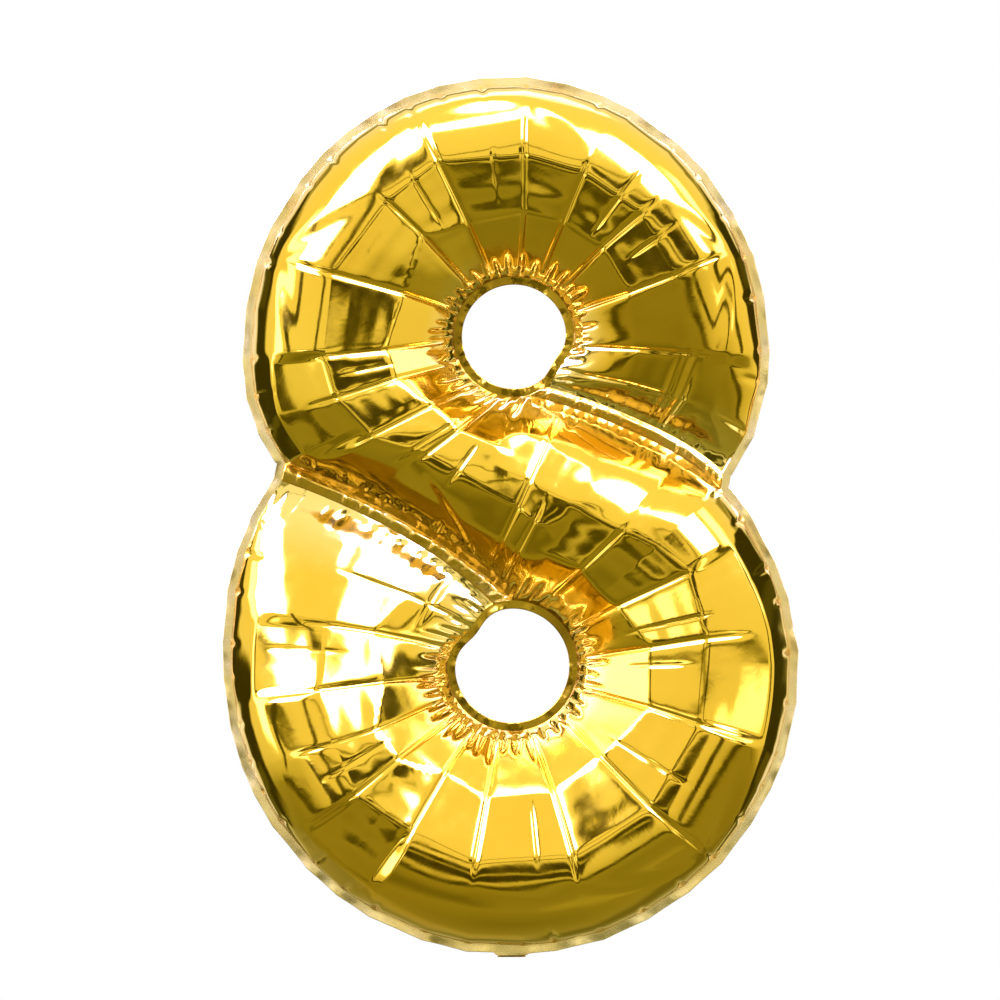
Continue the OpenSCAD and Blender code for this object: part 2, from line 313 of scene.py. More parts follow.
def foil_grid(seed, jitter):
    """Front foil as a grid of points. The back one is the same with another seed, turned over."""
    rng = np.random.default_rng(seed)
    stations, q, shares = base_grid()
    n = len(stations) - 1
    s2 = np.tile(stations[:, None], (1, ROWS + 1))
    # the lines across the tube wander a little
    inner = np.sin(math.pi * np.clip(q, 0, 1)) ** 2
    length = np.arange(n + 1) * PITCH
    wander = sum(
        smooth_noise(rng, length, w)[:, None] * np.sin(math.pi * k * q)[None, :]
        for k, w in ((1, 60.0), (2, 40.0))
    )
    s2 = s2 + 0.006 * wander * inner[None, :] * ramp(np.minimum(stations, 5 - stations), 0.02, 0.25)[:, None]
    p = tube_point(s2, shares)
    at = np.arange(n + 1)

    # long creases: turns round the eyes, and how far across they reach
    upper = [(-37, 0.62), (-10, 0.7), (21, 0.8), (45, 0.66), (65, 0.62), (86, 0.78), (111, 0.8), (134, 0.6),
             (158, 0.82), (183, 0.66), (207, 0.7), (232, 0.66), (258, 0.6)]
    lower = [(62, 0.6), (30, 0.62), (5, 0.72), (-18, 0.76), (-44, 0.86), (-72, 0.66), (-100, 0.62),
             (-119, 0.6), (-137, 0.78), (-153, 0.7), (-171, 0.74), (-196, 0.64), (-222, 0.6)]
    creases = [(upper_station(a + jitter * rng.normal()), reach) for a, reach in upper]
    creases += [(2.42, 1.0), (2.72, 0.5)]
    creases += [(lower_station(a + jitter * rng.normal()), reach) for a, reach in lower]
    lips = [LIP_AT / RING_L, 5 - LIP_AT / RING_L]
    columns = np.round(np.interp([c[0] for c in creases] + lips, stations, at)).astype(int)
    columns = np.unique(np.concatenate([[0], columns, [n]]))

    share = eye_share(stations, q)
    mid = bell((stations - 2.5) / 0.45)[:, None]
    corner = [reach for _, reach in creases]
    reach_of = np.interp(stations, [c[0] for c in creases], corner)[:, None]
    flat_in = ramp(share, 0.02, 0.1) * (1 - 0.85 * ramp(share, reach_of - 0.03, reach_of + 0.03) * (1 - mid))
    flat_in = flat_in * (1 - mid * ramp(np.abs(share - 0.5), 0.36, 0.5))

    # each long crease stands a little in or out, so that the facets tip
    push = np.zeros((n + 1, ROWS + 1))
    for c in columns[1:-1]:
        push[c] = 1.6 * smooth_noise(rng, q, 0.3)
    kinked = p + normals(p) * (push * inner[None, :])[..., None]
    flat = straightened(kinked, columns)
    p = p + (flat - p) * flat_in[..., None]
    # flat panels from each eye to the crest, and along the diagonal on both sides of its crest
    ringed = ramp(np.abs(stations - 2.5), 0.3, 0.65)[:, None, None]
    ring_bands = bands_of(rng, creases, stations, [0.05, 0.33, 0.55], np.array([0.01, 0.05, 0.03]))
    p = p + 0.9 * (banded(p, share, ring_bands) - p) * ringed
    # and, between some of the creases, from the crest to the outline
    gen = np.random.default_rng(seed + 300)
    outer_bands = bands_of(gen, creases, stations, [0.55, 0.78, 0.94], np.array([0.0, 0.03, 0.01]))
    outer_bands[:, 0] = ring_bands[:, -1]
    flat_out = np.zeros(n + 1)
    starts = np.round(np.interp([s for s, _ in creases], stations, at)).astype(int)
    for k in FLAT_AFTER:
        flat_out[starts[k]:starts[k + 1]] = 1
    flat_out = np.convolve(np.pad(flat_out, 2, mode="edge"), np.ones(5) / 5, mode="valid")
    p = p + 0.85 * flat_out[:, None, None] * (banded(p, share, outer_bands) - p) * ringed
    across = np.tile(q, (n + 1, 1))
    long_bands = bands_of(rng, creases, stations, [0.28, 0.44, 0.58, 0.74], 0.015)
    p = p + 0.85 * (banded(p, across, long_bands) - p) * (1 - ringed)

    # outer seam: straight between pinches
    for edge, first, last in ((1.0, 0.0, 1.0), (0.0, 4.0, 5.0)):
        inside = (stations >= first) & (stations <= last)
        ids = at[inside]
        pin = [ids[0]]
        while pin[-1] < ids[-1] - 8:
            pin.append(pin[-1] + int(rng_seam.integers(12, 22)))
        pin = np.array(pin[:-1] + [ids[-1]])
        seam_pins.setdefault(edge, pin)
        pin = seam_pins[edge]
        sub = p[ids]
        flat = straightened(sub, np.clip(pin - ids[0], 0, len(ids) - 1))
        weight = ramp(np.abs(q - (1 - edge)), 0.8, 0.97)[None, :, None]
        p[ids] = sub + 1.3 * (flat - sub) * weight

    nrm = normals(p)
    run = row_run(p)
    dent = np.zeros((n + 1, ROWS + 1))

    def valley(column, depth, width, profile):
        """Narrow inward fold along a column; depth by row is depth * profile."""
        lo, hi = max(0, column - 12), min(n, column + 12) + 1
        x = (run[lo:hi] - run[column]) / width
        v = (bell(x * 1.15) + 0.22 * bell(x / 2.6)) * (depth * profile)[None, :]
        dent[lo:hi] = np.maximum(dent[lo:hi], v)

    for s0, reach in creases:
        c = int(round(float(np.interp(s0, stations, at))))
        row_share = share[c]
        if reach >= 1:
            profile = np.clip(np.sin(math.pi * np.clip(q, 0, 1)), 0, 1) ** 0.7
        else:
            profile = ramp(row_share, 0.0, 0.16) * (1 - ramp(row_share, reach - 0.1, reach + 0.02))
        valley(c, rng.uniform(1.2, 2.0), 1.9, profile)

    # short creases between the long ones
    for c0, c1 in zip(columns[:-1], columns[1:]):
        for k in range(int(rng.integers(0, 2))):
            c = int(lerp(c0, c1, rng.uniform(0.25, 0.75)))
            a = rng.uniform(0.25, 0.5)
            b = a + rng.uniform(0.12, 0.3)
            profile = ramp(share[c], a - 0.06, a + 0.04) * (1 - ramp(share[c], b - 0.04, b + 0.06))
            valley(c, rng.uniform(0.5, 1.1), 1.9, profile)

    # ruffles round the eyes
    for edge, first, last in ((0.0, 0.0, 2.0), (1.0, 3.0, 5.0)):
        inside = at[(stations >= first) & (stations <= last)]
        j = 0 if edge == 0 else ROWS
        along = run[inside, j]
        x = along[0] + 3
        while x < along[-1] - 3:
            c = int(inside[np.searchsorted(along, x)])
            reach = rng.uniform(26, 58)
            d = np.abs(q - edge) * 280
            profile = ramp(d, 0, 12) * (1 - ramp(d, 0.5 * reach, reach))
            valley(c, rng.uniform(0.9, 2.3), rng.uniform(2.0, 3.6), profile)
            x += rng.uniform(5, 13)

    # pinches along the outer seams, and pleats along the welds
    for edge, first, last in ((1.0, 0.0, 1.0), (0.0, 4.0, 5.0)):
        for c in seam_pins[edge]:
            d = np.abs(q - edge) * 280
            reach = rng.uniform(24, 70)
            valley(int(c), rng.uniform(1.4, 3.0), 3.0, ramp(d, 0, 7) * (1 - ramp(d, 0.3 * reach, reach)))
            for k in range(int(rng.integers(0, 3))):
                other = int(np.clip(c + rng.integers(3, 14), 0, n))
                reach = rng.uniform(10, 26)
                valley(other, rng.uniform(0.5, 1.1), 2.8, ramp(d, 0, 6) * (1 - ramp(d, 0.3 * reach, reach)))
    # puckers, a trough and a second ridge along both sides of each weld
    meridian = np.concatenate([np.zeros((n + 1, 1)), np.cumsum(np.linalg.norm(np.diff(p, axis=1), axis=2), 1)], 1)
    for edge, first, last in ((1.0, 1.0, 3.0), (0.0, 2.0, 4.0)):
        from_edge = meridian if edge == 0 else meridian[:, -1:] - meridian
        held = ramp(stations, first, first + 0.12) * (1 - ramp(stations, last - 0.12, last))
        dent = np.maximum(dent, 1.2 * bell((from_edge - TROUGH_AT) / TROUGH_W) * held[:, None])
        inside = at[(stations >= first) & (stations <= last)]
        c = int(inside[0]) + 3
        while c < inside[-1]:
            reach = rng.choice([rng.uniform(14, 24), rng.uniform(26, 46)], p=[0.85, 0.15])
            d = from_edge[c]
            valley(c, rng.uniform(1.0, 2.4), 3.0, ramp(d, 0, 5) * (1 - ramp(d, 0.4 * reach, reach)))
            c += int(rng.integers(3, 7))
    for end in (0, 1):
        gap = ((stations if end == 0 else 5 - stations) * RING_L)[:, None]
        across_end = meridian[0 if end == 0 else n]
        sides = ramp(np.minimum(across_end, across_end[-1] - across_end), 0, 16)[None, :]
        dent = np.maximum(dent, 1.2 * bell((gap - TROUGH_AT) / TROUGH_W) * sides)
        x = 8.0
        while x < across_end[-1] - 8:
            j = int(np.searchsorted(across_end, x))
            long_fold = rng.random() < 0.16
            reach = rng.uniform(60, 110) if long_fold else rng.uniform(14, 26)
            depth = rng.uniform(1.6, 2.8) if long_fold else rng.uniform(0.5, 3.2)
            fold = depth * ramp(gap, 0, 6) * (1 - ramp(gap, 0.35 * reach, reach))
            dent = np.maximum(dent, fold * bell((np.arange(ROWS + 1) - j)[None, :] / rng.uniform(0.8, 1.5)))
            x += rng.uniform(6, 19)

    # long soft waves, and bands along each facet
    soft = sum(
        smooth_noise(rng, length, 55.0)[:, None] * np.sin(math.pi * k * q + rng.uniform(0, 6))[None, :]
        for k in (1, 2, 3, 4)
    )
    band = np.zeros((n + 1, ROWS + 1))
    gen = np.random.default_rng(seed + 200)
    for c0, c1 in zip(columns[:-1], columns[1:]):
        x = np.linspace(0, 1, c1 - c0 + 1)
        window = np.clip(4 * x * (1 - x), 0, 1) ** 0.4
        line = sum(rng.uniform(-1, 1) / k * np.sin(math.pi * k * q + rng.uniform(0, 6)) for k in (4, 7, 11))
        fine = sum(gen.uniform(0.04, 0.09) * np.sin(math.pi * k * q + gen.uniform(0, 6)) for k in (17, 23))
        band[c0:c1 + 1] = window[:, None] * (line + fine)[None, :]
    # the diagonal is smoother than the rings
    dent = dent + (0.35 * soft + 1.5 * band * (1 - 0.65 * mid)) * inner[None, :]
    edge_hold = ramp(np.minimum(at, n - at), 0, 3)[:, None]
    p = p - nrm * (dent * edge_hold)[..., None]
    p[..., 1] = np.minimum(p[..., 1], -0.3)

    # painted sheen: how much paler the lacquer is painted, standing in for the bright reflections of the ruffled film;
    # fully beside the eyes, the welds and the ends of the ring
    painted_sheen = np.zeros((n + 1, ROWS + 1))
    for from_edge, first, last in ((meridian, -1.0, 4.0), (meridian[:, -1:] - meridian, 1.0, 6.0)):
        held = ramp(stations, first - 0.03, first + 0.03) * (1 - ramp(stations, last - 0.03, last + 0.03))
        painted_sheen = np.maximum(painted_sheen, held[:, None] * (1 - ramp(from_edge, 5, PAINTED_SHEEN_L)))
    ends = np.minimum(stations, 5 - stations)[:, None] * RING_L
    painted_sheen = np.maximum(painted_sheen, 1 - ramp(ends, 5, PAINTED_SHEEN_L))
    return stations, q, p, painted_sheen


rng_seam = np.random.default_rng(5)
seam_pins = {}
# creases after which the tube's outer side is flat, counted from the right end of the tube
FLAT_AFTER = (0, 9, 10, 16, 17, 22, 25)
# width of the painted sheen, the paler-painted lacquer, beside an inner seam
PAINTED_SHEEN_L = 48.0


# ---- meshes ----


def mesh_object(name, points, faces, materials, smooth=True):
    mesh = bpy.data.meshes.new(name)
    mesh.from_pydata((np.asarray(points).reshape(-1, 3) * MM).tolist(), [], [list(map(int, f)) for f in faces])
    mesh.polygons.foreach_set("use_smooth", [smooth] * len(mesh.polygons))
    for m in materials:
        mesh.materials.append(m)
    mesh.validate()
    mesh.update()
    obj = bpy.data.objects.new(name, mesh)
    bpy.context.scene.collection.objects.link(obj)
    return obj


def grid_faces(n, m, flip=False, start=0, wrap=False):
    idx = start + np.arange(n * m).reshape(n, m)
    if wrap:
        idx = np.concatenate([idx, idx[:1]], 0)
    f = np.stack([idx[:-1, :-1], idx[1:, :-1], idx[1:, 1:], idx[:-1, 1:]], -1).reshape(-1, 4)
    return f[:, ::-1] if flip else f


def sheet_object(name, points, across, faces, thick, materials):
    """Thin closed solid: a sheet of faces, thickened along the unit vectors across."""
    points, faces = np.asarray(points).reshape(-1, 3), np.asarray(faces)
    across = np.broadcast_to(across, points.shape)
    a, b, c = (points[faces[0][k]] for k in range(3))
    if np.dot(np.cross(b - a, c - b), across[faces[0][0]]) < 0:
        faces = faces[:, ::-1]
    half = across * thick / 2
    size = len(points)
    edges = {(int(f[k]), int(f[(k + 1) % len(f)])) for f in faces for k in range(len(f))}
    rim = [(b, a, a + size, b + size) for a, b in sorted(edges) if (b, a) not in edges]
    solid = [tuple(f) for f in faces] + [tuple(f[::-1] + size) for f in faces] + rim
    return mesh_object(name, np.concatenate([points + half, points - half]), solid, materials)


def outward(path, closed=True):
    """Unit vectors square to a path in the plane of the seams, to its right as it is walked."""
    if closed:
        d = np.roll(path, -1, axis=0) - np.roll(path, 1, axis=0)
    else:
        d = np.gradient(path, axis=0)
    n = np.stack([d[:, 2], np.zeros(len(d)), -d[:, 0]], -1)
    return n / (np.linalg.norm(n, axis=1, keepdims=True) + 1e-9)


# ---- materials ----


def new_material(name):
    m = bpy.data.materials.new(name)
    m.use_nodes = True
    nodes, links = m.node_tree.nodes, m.node_tree.links
    return m, nodes, links, nodes["Principled BSDF"]


def noise(nodes, links, coord, scale, detail=3.0, rough=0.5, distortion=0.0):
    t = nodes.new("ShaderNodeTexNoise")
    t.inputs["Scale"].default_value = scale
    t.inputs["Detail"].default_value = detail
    t.inputs["Roughness"].default_value = rough
    t.inputs["Distortion"].default_value = distortion
    links.new(coord, t.inputs["Vector"])
    return t.outputs["Fac"]


def map_range(nodes, links, value, lo, hi, to_lo, to_hi):
    t = nodes.new("ShaderNodeMapRange")
    for k, v in zip(("From Min", "From Max", "To Min", "To Max"), (lo, hi, to_lo, to_hi)):
        t.inputs[k].default_value = v
    links.new(value, t.inputs["Value"])
    return t.outputs["Result"]


def ramp_colour(nodes, links, value, stops):
    t = nodes.new("ShaderNodeValToRGB")
    e = t.color_ramp.elements
    while len(e) < len(stops):
        e.new(0.5)
    for el, (pos, col) in zip(e, stops):
        el.position = pos
        el.color = (*col, 1)
    links.new(value, t.inputs["Fac"])
    return t.outputs["Color"]


def bump(nodes, links, height, strength, distance, normal=None):
    t = nodes.new("ShaderNodeBump")
    t.inputs["Strength"].default_value = strength
    t.inputs["Distance"].default_value = distance
    links.new(height, t.inputs["Height"])
    if normal is not None:
        links.new(normal, t.inputs["Normal"])
    return t.outputs["Normal"]


def foil_material():
    m, nodes, links, p = new_material("gold_metallised_foil")
    coord = nodes.new("ShaderNodeTexCoord").outputs["Object"]
    cloud = noise(nodes, links, coord, 7.0, 2.0)
    colour = ramp_colour(nodes, links, cloud, [(0.3, (0.80, 0.47, 0.024)), (0.7, (0.80, 0.51, 0.034))])
    # painted sheen: the lacquer is painted paler beside the eyes, welds and ring ends, standing in for the bright
    # reflections of the ruffled film there
    painted_sheen = nodes.new("ShaderNodeAttribute")
    painted_sheen.attribute_name = "painted_sheen"
    paler = nodes.new("ShaderNodeMix")
    paler.data_type = "RGBA"
    # the paler colour of the painted sheen
    paler.inputs[7].default_value = (0.90, 0.66, 0.18, 1)
    links.new(map_range(nodes, links, painted_sheen.outputs["Fac"], 0, 1, 0, 0.85), paler.inputs[0])
    links.new(colour, paler.inputs[6])
    links.new(paler.outputs[2], p.inputs["Base Color"])
    haze = noise(nodes, links, coord, 60.0, 4.0)
    links.new(map_range(nodes, links, haze, 0.3, 0.75, 0.055, 0.13), p.inputs["Roughness"])
    p.inputs["Metallic"].default_value = 1.0
    p.inputs["Coat Weight"].default_value = 0.25
    p.inputs["Coat Roughness"].default_value = 0.06
    fine = noise(nodes, links, coord, 420.0, 3.0, 0.6)
    soft = noise(nodes, links, coord, 55.0, 2.0, 0.5, 0.6)
    n1 = bump(nodes, links, soft, 0.02, 0.004)
    n2 = bump(nodes, links, fine, 0.018, 0.0005, n1)
    links.new(n2, p.inputs["Normal"])
    return m


def seal_material(name, light, dark, rough, metal):
    m, nodes, links, p = new_material(name)
    coord = nodes.new("ShaderNodeTexCoord").outputs["Object"]
    cloud = noise(nodes, links, coord, 14.0, 2.0)
    links.new(ramp_colour(nodes, links, cloud, [(0.32, dark), (0.68, light)]), p.inputs["Base Color"])
    haze = noise(nodes, links, coord, 60.0, 2.0)
    links.new(map_range(nodes, links, haze, 0.3, 0.7, rough - 0.05, rough + 0.05), p.inputs["Roughness"])
    p.inputs["Metallic"].default_value = metal
    weave = []
    for turn in (math.radians(45), math.radians(-45)):
        mapping = nodes.new("ShaderNodeMapping")
        mapping.inputs["Rotation"].default_value = (0, turn, 0)
        links.new(coord, mapping.inputs["Vector"])
        wave = nodes.new("ShaderNodeTexWave")
        wave.inputs["Scale"].default_value = 105.0
        links.new(mapping.outputs["Vector"], wave.inputs["Vector"])
        weave.append(wave.outputs["Fac"])
    both = nodes.new("ShaderNodeMath")
    both.operation = "MULTIPLY"
    links.new(weave[0], both.inputs[0])
    links.new(weave[1], both.inputs[1])
    n1 = bump(nodes, links, both.outputs[0], 0.025, 0.0003)
    n2 = bump(nodes, links, noise(nodes, links, coord, 50.0, 1.0), 0.08, 0.002, n1)
    links.new(n2, p.inputs["Normal"])
    return m


def film_material():
    m, nodes, links, p = new_material("clear_valve_film")
    coord = nodes.new("ShaderNodeTexCoord").outputs["Object"]
    haze = noise(nodes, links, coord, 90.0, 3.0)
    links.new(map_range(nodes, links, haze, 0.3, 0.7, 0.12, 0.32), p.inputs["Roughness"])
    colour = ramp_colour(nodes, links, haze, [(0.3, (0.86, 0.88, 0.88)), (0.7, (0.94, 0.95, 0.95))])
    links.new(colour, p.inputs["Base Color"])
    p.inputs["Transmission Weight"].default_value = 0.7
    p.inputs["IOR"].default_value = 1.5
    links.new(bump(nodes, links, noise(nodes, links, coord, 70.0, 3.0), 0.25, 0.002), p.inputs["Normal"])
    return m


gold = foil_material()
tail_gold = gold
seal = seal_material("heat_sealed_edge", (0.97, 0.77, 0.33), (0.94, 0.69, 0.21), 0.24, 1.0)
# painted shade: the weld flanges get a darker, more saturated copy of the sealed-edge colours, for the shade in the
# crevices beside the welds
shaded_weld_seal = seal_material("heat_sealed_weld_painted_shade", (0.92, 0.62, 0.13), (0.84, 0.50, 0.05), 0.2, 1.0)
# painted shade: the eye flanges get a much darker copy of the sealed-edge colours, for the shade between the front and
# back tubes
shaded_eye_seal = seal_material("heat_sealed_eye_painted_shade", (0.50, 0.31, 0.015), (0.26, 0.15, 0.006), 0.2, 1.0)
film = film_material()

# ---- the two foils ----

stations, q, front_p, front_painted_sheen = foil_grid(11, 1.5)
_, _, back_p, back_painted_sheen = foil_grid(23, 5.0)
# both foils end on one seam line
for j in (0, -1):
    back_p[:, j] = front_p[:, j]
for i in (0, -1):
    back_p[i] = front_p[i]
back_p[..., 1] *= -1
cols, rows_n = front_p.shape[:2]
front_foil = mesh_object("front_foil", front_p, grid_faces(cols, rows_n), [gold])
back_foil = mesh_object("back_foil", back_p, grid_faces(cols, rows_n, True), [gold])
# painted sheen: each foil carries its paler-lacquer weights as a point attribute
for piece, painted_sheen in ((front_foil, front_painted_sheen), (back_foil, back_painted_sheen)):
    values = piece.data.attributes.new("painted_sheen", "FLOAT", "POINT")
    values.data.foreach_set("value", painted_sheen.ravel())

# ---- flanges ----

FLANGE_T = 0.7
# width of the tail, and the height of the flange's lowest edge above it
TAIL_W, TAB_Z = 28.0, 1.7

seam_y = np.array([1, 0, 1.0])
upper_run = front_p[stations <= 1.0, -1] * seam_y
lower_run = front_p[stations >= 4.0, 0] * seam_y
# upper lobe from the right notch to the left one, then the lower lobe back
outline = np.concatenate([upper_run, lower_run[::-1]])
keep = np.concatenate([[True], np.linalg.norm(np.diff(outline, axis=0), axis=1) > 0.5])
outline = outline[keep]
rng = np.random.default_rng(31)
out_dir = outward(outline)
if (out_dir[:, 2] * (outline[:, 2] - 440)).mean() < 0:
    out_dir = -out_dir
for _ in range(4):
    out_dir = (np.roll(out_dir, 1, 0) + out_dir * 2 + np.roll(out_dir, -1, 0)) / 4
out_dir /= np.linalg.norm(out_dir, axis=1, keepdims=True)
ripple = smooth_noise(rng, np.arange(len(outline)) * 1.0, 6.0)
flange_at = np.array([-2.0, 0.0, 2.0, 4.0, 6.0, 7.4, 8.0])
flange_points = outline[:, None, :] + out_dir[:, None, :] * flange_at[None, :, None]
flange_points[..., 1] += 0.9 * ripple[:, None] * ramp(flange_at, 0, 8)[None, :]
# where the tail leaves it, the flange is drawn down to the fold
tab = ramp(TAIL_W / 2 + 4 - np.abs(flange_points[..., 0]), 0, 4) * (flange_points[..., 2] < 40)
tab = tab * ramp(flange_at, 0, 8)[None, :]
flange_points[..., 2] = lerp(flange_points[..., 2], TAB_Z, tab)
flange_points[..., 1] *= 1 - tab
flange_faces = grid_faces(len(outline), len(flange_at), wrap=True)
outline_flange = sheet_object("outline_flange", flange_points, (0, 1, 0), flange_faces, FLANGE_T, [seal])


def eye_flange(name, eye, seed):
    """Sealed ring inside an eye. Its free inner edge is ruffled."""
    gen = np.random.default_rng(seed)
    turn = np.arange(0, 360, 1.0)
    wave = np.zeros(360)
    for _ in range(46):
        off = turn - gen.uniform(0, 360)
        off -= 360 * np.round(off / 360)
        wave += gen.uniform(-1, 1) * bell(off / gen.uniform(3, 6))
    grow = np.array([2.0, 0.0, -1.5, -3.0, -4.5, -6.0, -7.2, -8.0])
    rings = np.stack([eye_edge(eye, turn, g) for g in grow], 1)
    y = 1.6 * wave[:, None] * ramp(-grow, 0, 8)[None, :]
    points = np.stack([rings[..., 0], y, rings[..., 1]], -1)
    return sheet_object(name, points, (0, 1, 0), grid_faces(360, len(grow), True, wrap=True), FLANGE_T, [shaded_eye_seal])


upper_eye_flange = eye_flange("upper_eye_flange", UPPER_EYE, 41)
lower_eye_flange = eye_flange("lower_eye_flange", LOWER_EYE, 43)


# height of the lip along each weld, and its place across the sealed strip
LIP_H, LIP_PLACE = 3.4, 0.62


def weld_flange(name, weld, seed):
    """Sealed strip between two stretches of tube, folded towards the viewer into a ruffled lip."""
    gen = np.random.default_rng(seed)
    count = 160
    t = np.linspace(0.0, 1.0, count)
    top, low = weld(1, t), weld(-1, t)
    unit = (top - low) / np.linalg.norm(top - low, axis=1, keepdims=True)
    ruffle = 1.1 * smooth_noise(gen, np.arange(float(count)), 3.5)
    shift = 0.9 * smooth_noise(gen, np.arange(float(count)), 6.0)
    rows = []
    for f in np.linspace(0, 1, 9):
        hump = float(np.interp(f, [0, LIP_PLACE, 1], [0, 1, 0]))
        line = low - 2 * unit + f * (top - low + 4 * unit) + (shift * hump)[:, None] * unit
        rows.append(np.stack([line[:, 0], (ruffle - LIP_H) * hump, line[:, 1]], -1))
    return sheet_object(name, np.stack(rows, 1), (0, 1, 0), grid_faces(count, 9), FLANGE_T, [shaded_weld_seal])


upper_weld_flange = weld_flange("upper_weld_flange", upper_weld, 51)
lower_weld_flange = weld_flange("lower_weld_flange", lower_weld, 53)

# ---- inflation tail ----

FILM_T = 0.4
TAIL_BEND_R, TAIL_BEND_L, TAIL_FLAT_L = 66.0, 53.0, 38.0
TAIL_L = TAIL_BEND_L + TAIL_FLAT_L
FOLD_Z = 1.5 * FILM_T
SIDE_SEAL_W = 3.0
HOLE_R, HOLE_FROM_END, HOLE_PATCH = 3.0, 16.0, 5.0


def tail_place(u, v, below):
    """Points of the tail u along it from the fold, v across it, and so far below its middle film line."""
    turn = np.minimum(u, TAIL_BEND_L) / TAIL_BEND_R
    past = np.maximum(u - TAIL_BEND_L, 0)
    down = np.stack([np.zeros_like(turn), np.sin(turn), -np.cos(turn)], -1)
    ahead = np.stack([np.zeros_like(turn), np.cos(turn), np.sin(turn)], -1)
    # creases of the folded film, and its free end, which curls in
    gen = np.random.default_rng(61)
    bend = sum(
        gen.uniform(0.1, 0.35) * np.sin(u / gen.uniform(2.2, 6.0) + v / gen.uniform(4, 16) + gen.uniform(0, 6))
        for _ in range(7)
    )
    lift = (bend - 1.0) * ramp(u, 4, 30) - 2.2 * ramp(u, TAIL_L - 14, TAIL_L) * (np.abs(v) / 14) ** 2
    centre = np.array([0, 0, FOLD_Z + TAIL_BEND_R])
    place = centre + (TAIL_BEND_R + below + lift)[..., None] * down + past[..., None] * ahead
    place[..., 0] += v
    return place, down


def punched(us, vs, middle):
    """Grid of points in u and v with a round hole, whose square patch starts on lines of the grid."""
    n, m = len(us), len(vs)
    points = [(u, v) for u in us for v in vs]
    u_in = [i for i in range(n) if abs(us[i] - middle) <= HOLE_PATCH + 1e-6]
    v_in = [j for j in range(m) if abs(vs[j]) <= HOLE_PATCH + 1e-6]
    faces = [
        (i * m + j, (i + 1) * m + j, (i + 1) * m + j + 1, i * m + j + 1)
        for i in range(n - 1) for j in range(m - 1)
        if not (u_in[0] <= i < u_in[-1] and v_in[0] <= j < v_in[-1])
    ]
    loop = [(i, v_in[0]) for i in u_in[:-1]] + [(u_in[-1], j) for j in v_in[:-1]]
    loop += [(i, v_in[-1]) for i in u_in[:0:-1]] + [(u_in[0], j) for j in v_in[:0:-1]]
    outer = [i * m + j for i, j in loop]
    square = np.array([points[k] for k in outer]) - (middle, 0)
    circle = HOLE_R * square / np.linalg.norm(square, axis=1, keepdims=True)
    for share in (1 / 3, 2 / 3, 1):
        inner = list(range(len(points), len(points) + len(outer)))
        points += [tuple(c) for c in lerp(square, circle, share) + (middle, 0)]
        for k in range(len(outer)):
            o = (k + 1) % len(outer)
            faces.append((outer[k], outer[o], inner[o], inner[k]))
        outer = inner
    used = sorted({k for f in faces for k in f})
    place = {k: i for i, k in enumerate(used)}
    return np.array(points)[used], [tuple(place[k] for k in f) for f in faces]


def tail_piece(name, points, faces, side, thick, material):
    """One film of the tail: side is 1 below, -1 above, and 0 for the sealed edges between them."""
    u, v = points[:, 0], points[:, 1]
    open_part = 1 - ramp(np.abs(v), TAIL_W / 2 - SIDE_SEAL_W - 6, TAIL_W / 2 - SIDE_SEAL_W)
    puff = 0.9 * open_part * ramp(u, 6, 22) * (1 - 0.5 * ramp(u, TAIL_L - 10, TAIL_L))
    place, down = tail_place(u, v, side * (FILM_T + puff))
    return sheet_object(name, place, down, faces, thick, [material])


hole_at = TAIL_L - HOLE_FROM_END
tail_us = np.concatenate([np.linspace(0, hole_at - HOLE_PATCH, 50), np.linspace(hole_at - HOLE_PATCH,
                         hole_at + HOLE_PATCH, 9)[1:], np.linspace(hole_at + HOLE_PATCH, TAIL_L, 9)[1:]])
tail_vs = np.concatenate([np.linspace(-TAIL_W / 2, -HOLE_PATCH, 8), np.linspace(-HOLE_PATCH, HOLE_PATCH, 9)[1:],
                          np.linspace(HOLE_PATCH, TAIL_W / 2, 8)[1:]])
whole = np.stack(np.meshgrid(tail_us, tail_vs, indexing="ij"), -1).reshape(-1, 2)
whole_faces = grid_faces(len(tail_us), len(tail_vs))
tail_front = tail_piece("tail_front", *punched(tail_us, tail_vs, hole_at), 1, 0.75 * FILM_T, tail_gold)
tail_back = tail_piece("tail_back", whole, whole_faces, -1, 0.75 * FILM_T, tail_gold)
edge_points, edge_faces = [], []
for side in (-1, 1):
    strip = side * np.linspace(TAIL_W / 2 - SIDE_SEAL_W, TAIL_W / 2, 4)
    edge_faces.append(grid_faces(len(tail_us), 4, side < 0, len(edge_points) * len(tail_us) * 4))
    edge_points.append(np.stack(np.meshgrid(tail_us, strip, indexing="ij"), -1).reshape(-1, 2))
tail_edges = tail_piece("tail_edges", np.concatenate(edge_points), np.concatenate(edge_faces), 0, FILM_T, seal)

for piece, node, slot in (
    (tail_front, "tail_front_film", "gold_foil"),
    (tail_back, "tail_back_film", "gold_foil"),
    (tail_edges, "tail_side_seals", "sealed_foil"),
):
    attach(piece, "tail")
    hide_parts(node)

for piece, node in (
    (front_foil, "front_foil_panel"),
    (back_foil, "back_foil_panel"),
    (outline_flange, "outline_seam"),
    (upper_eye_flange, "upper_eye_seam"),
    (lower_eye_flange, "lower_eye_seam"),
    (upper_weld_flange, "upper_weld_seam"),
    (lower_weld_flange, "lower_weld_seam"),
):
    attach(piece, "balloon")
    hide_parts(node)


def repaint(node, material):
    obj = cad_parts[node]
    obj.data.materials.clear()
    obj.data.materials.append(material)


for node in ("valve_front_film", "valve_back_film", "valve_side_seals"):
    repaint(node, film)

# ---- studio ----


def aim(obj, target):
    obj.rotation_euler = (Vector(target) - obj.location).to_track_quat("-Z", "Y").to_euler()


